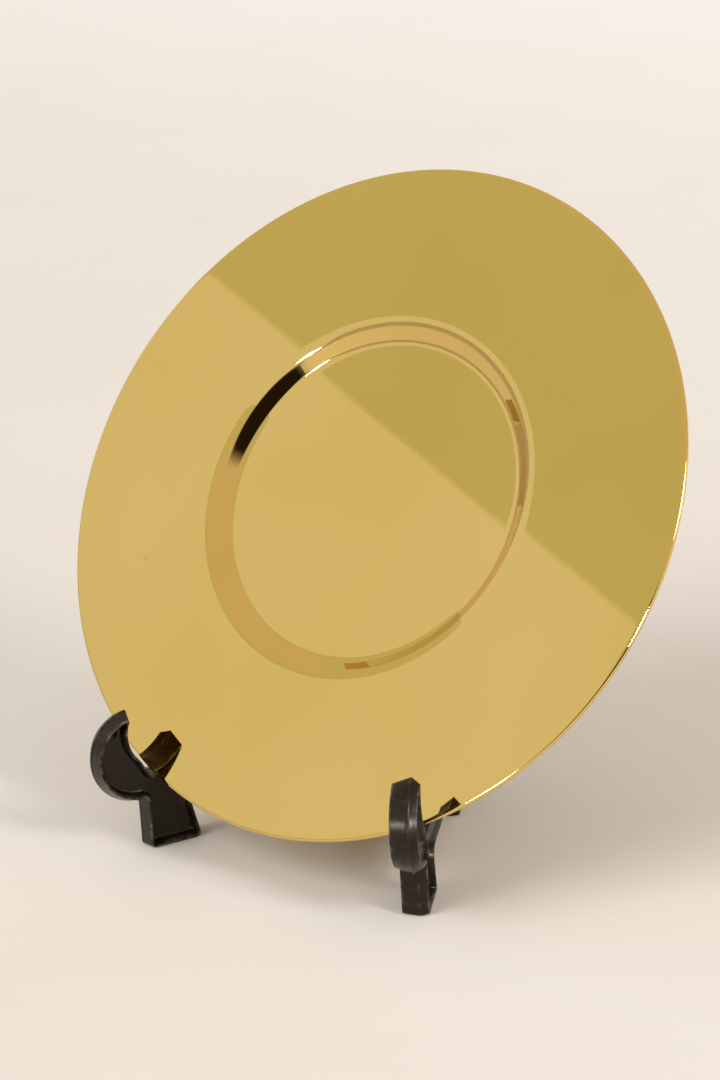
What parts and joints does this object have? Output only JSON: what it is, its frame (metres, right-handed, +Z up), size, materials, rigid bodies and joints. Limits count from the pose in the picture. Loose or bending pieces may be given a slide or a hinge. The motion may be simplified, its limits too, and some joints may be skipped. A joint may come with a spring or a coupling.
{
  "type": "communion paten on a folding stand",
  "caption": "Polished gold communion paten with a round recessed well, leaning on a black folding two-piece plastic plate stand.",
  "frame": {"origin": "on the table, under the middle of the whole object's width and depth", "axes": "+Z up; -Y towards the side that the paten's well faces; +X to the right as seen from there"},
  "size_m": [0.152, 0.0948, 0.1365],
  "materials": {
    "gilt_brass": "mirror polish",
    "black_plastic": "fine matt grain",
    "steel": "satin"
  },
  "bodies": {
    "hinge": {"hinge_pin": "steel"},
    "right_half": {"right_frame": "black_plastic"},
    "left_half": {"left_frame": "black_plastic"},
    "paten": {"paten": "gilt_brass"}
  },
  "joints": [
    {"name": "paten_lift", "type": "slide", "parent": "hinge", "child": "paten", "axis": [0, 0, 1], "range_m": [0, 0.08]},
    {"name": "right_fold", "type": "hinge", "parent": "hinge", "child": "right_half", "pos_m": [0, 0.02897, 0.0378], "axis": [0, 0, -1], "range_deg": [0, 26]},
    {"name": "left_fold", "type": "hinge", "parent": "hinge", "child": "left_half", "pos_m": [0, 0.02897, 0.0378], "axis": [0, 0, 1], "range_deg": [0, 26]}
  ],
  "couplings": [
    {"joint": "right_fold", "follows": "paten_lift", "rad_per_m": 5.6718},
    {"joint": "left_fold", "follows": "paten_lift", "rad_per_m": 5.6718}
  ]
}
